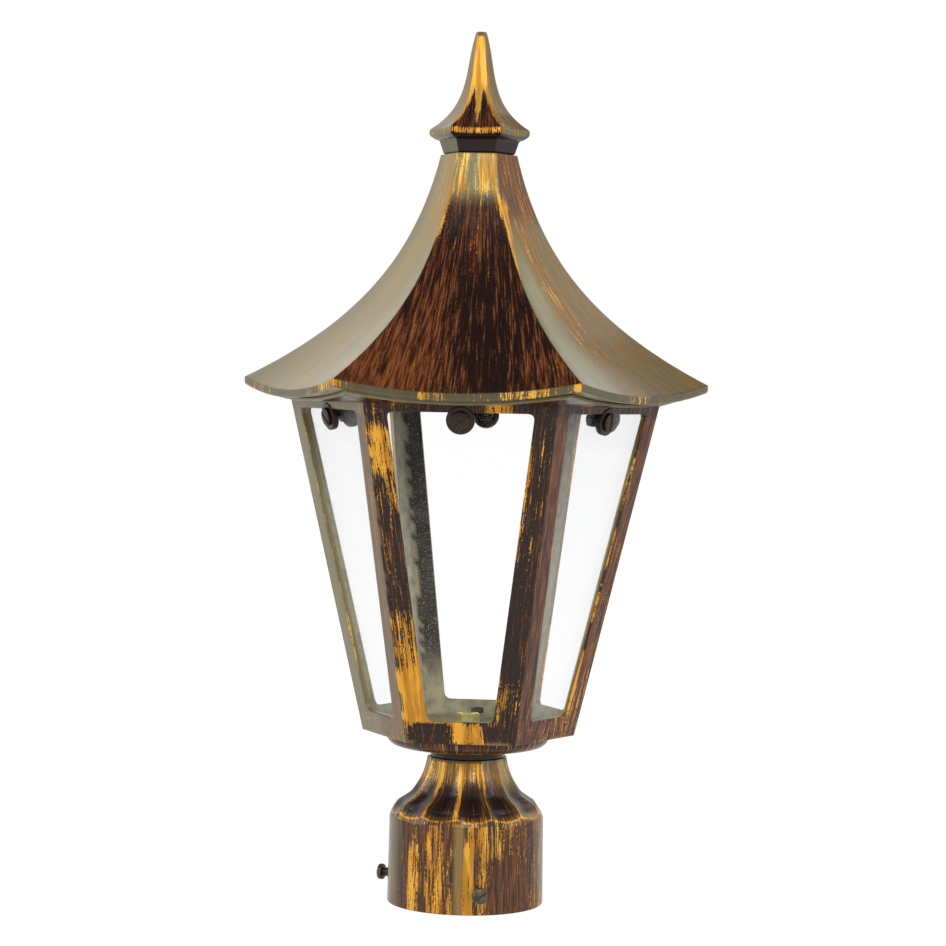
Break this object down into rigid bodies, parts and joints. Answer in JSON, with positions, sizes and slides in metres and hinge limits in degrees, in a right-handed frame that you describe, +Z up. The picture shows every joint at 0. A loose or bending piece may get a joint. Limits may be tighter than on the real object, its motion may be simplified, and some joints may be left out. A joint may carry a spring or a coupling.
{
  "type": "post top lantern",
  "caption": "Hexagonal post top lantern: tapering glazed cage under a concave lift-off roof with a spire finial, on a fluted post collar with set screws.",
  "frame": {"origin": "middle of the post collar's lower edge, which is the middle of the bottom of the bounding box", "axes": "+Z up along the post; -Y out of the front face; the hexagon's corners at 0, 60, 120 and so on degrees from +X"},
  "size_m": [0.253, 0.2192, 0.4727],
  "materials": {
    "gold_brushed_lacquer": "gloss",
    "dark_screw_steel": "satin",
    "plated_steel": "satin",
    "brass": "satin",
    "seeded_glass": "gloss",
    "holder_ceramic": "gloss"
  },
  "bodies": {
    "lantern": {"post_collar": "gold_brushed_lacquer", "base_pan": "gold_brushed_lacquer", "threaded_nipple": "brass", "lower_nut": "brass", "coupling_nut": "brass", "lantern_cage": "gold_brushed_lacquer", "earth_screw": "dark_screw_steel", "glass_pane_1": "seeded_glass", "glass_pane_2": "seeded_glass", "glass_pane_3": "seeded_glass", "glass_pane_4": "seeded_glass", "glass_pane_5": "seeded_glass", "glass_pane_6": "seeded_glass", "pane_screw_1": "dark_screw_steel", "pane_screw_2": "dark_screw_steel", "pane_screw_3": "dark_screw_steel", "pane_screw_4": "dark_screw_steel", "pane_screw_5": "dark_screw_steel", "pane_screw_6": "dark_screw_steel", "pane_nut_1": "dark_screw_steel", "pane_nut_2": "dark_screw_steel", "pane_nut_3": "dark_screw_steel", "pane_nut_4": "dark_screw_steel", "pane_nut_5": "dark_screw_steel", "pane_nut_6": "dark_screw_steel"},
    "roof_assembly": {"roof": "gold_brushed_lacquer", "finial": "gold_brushed_lacquer", "finial_stud": "plated_steel", "roof_washer": "plated_steel", "roof_nut": "plated_steel", "lampholder_cap": "holder_ceramic", "lampholder_body": "holder_ceramic", "lampholder_shell": "plated_steel", "lampholder_contact": "brass"},
    "front_set_screw": {"set_screw_1": "dark_screw_steel"},
    "right_set_screw": {"set_screw_2": "dark_screw_steel"},
    "left_set_screw": {"set_screw_3": "dark_screw_steel"}
  },
  "joints": [
    {"name": "roof_lift", "type": "slide", "parent": "lantern", "child": "roof_assembly", "axis": [0, 0, 1], "range_m": [0, 0.16]},
    {"name": "front_screw_slide", "type": "slide", "parent": "lantern", "child": "front_set_screw", "axis": [0.2419, -0.9703, 0], "range_m": [-0.0054, 0.002]},
    {"name": "right_screw_slide", "type": "slide", "parent": "lantern", "child": "right_set_screw", "axis": [0.7193, 0.6947, 0], "range_m": [-0.0054, 0.002]},
    {"name": "left_screw_slide", "type": "slide", "parent": "lantern", "child": "left_set_screw", "axis": [-0.9613, 0.2756, 0], "range_m": [-0.0054, 0.002]}
  ]
}
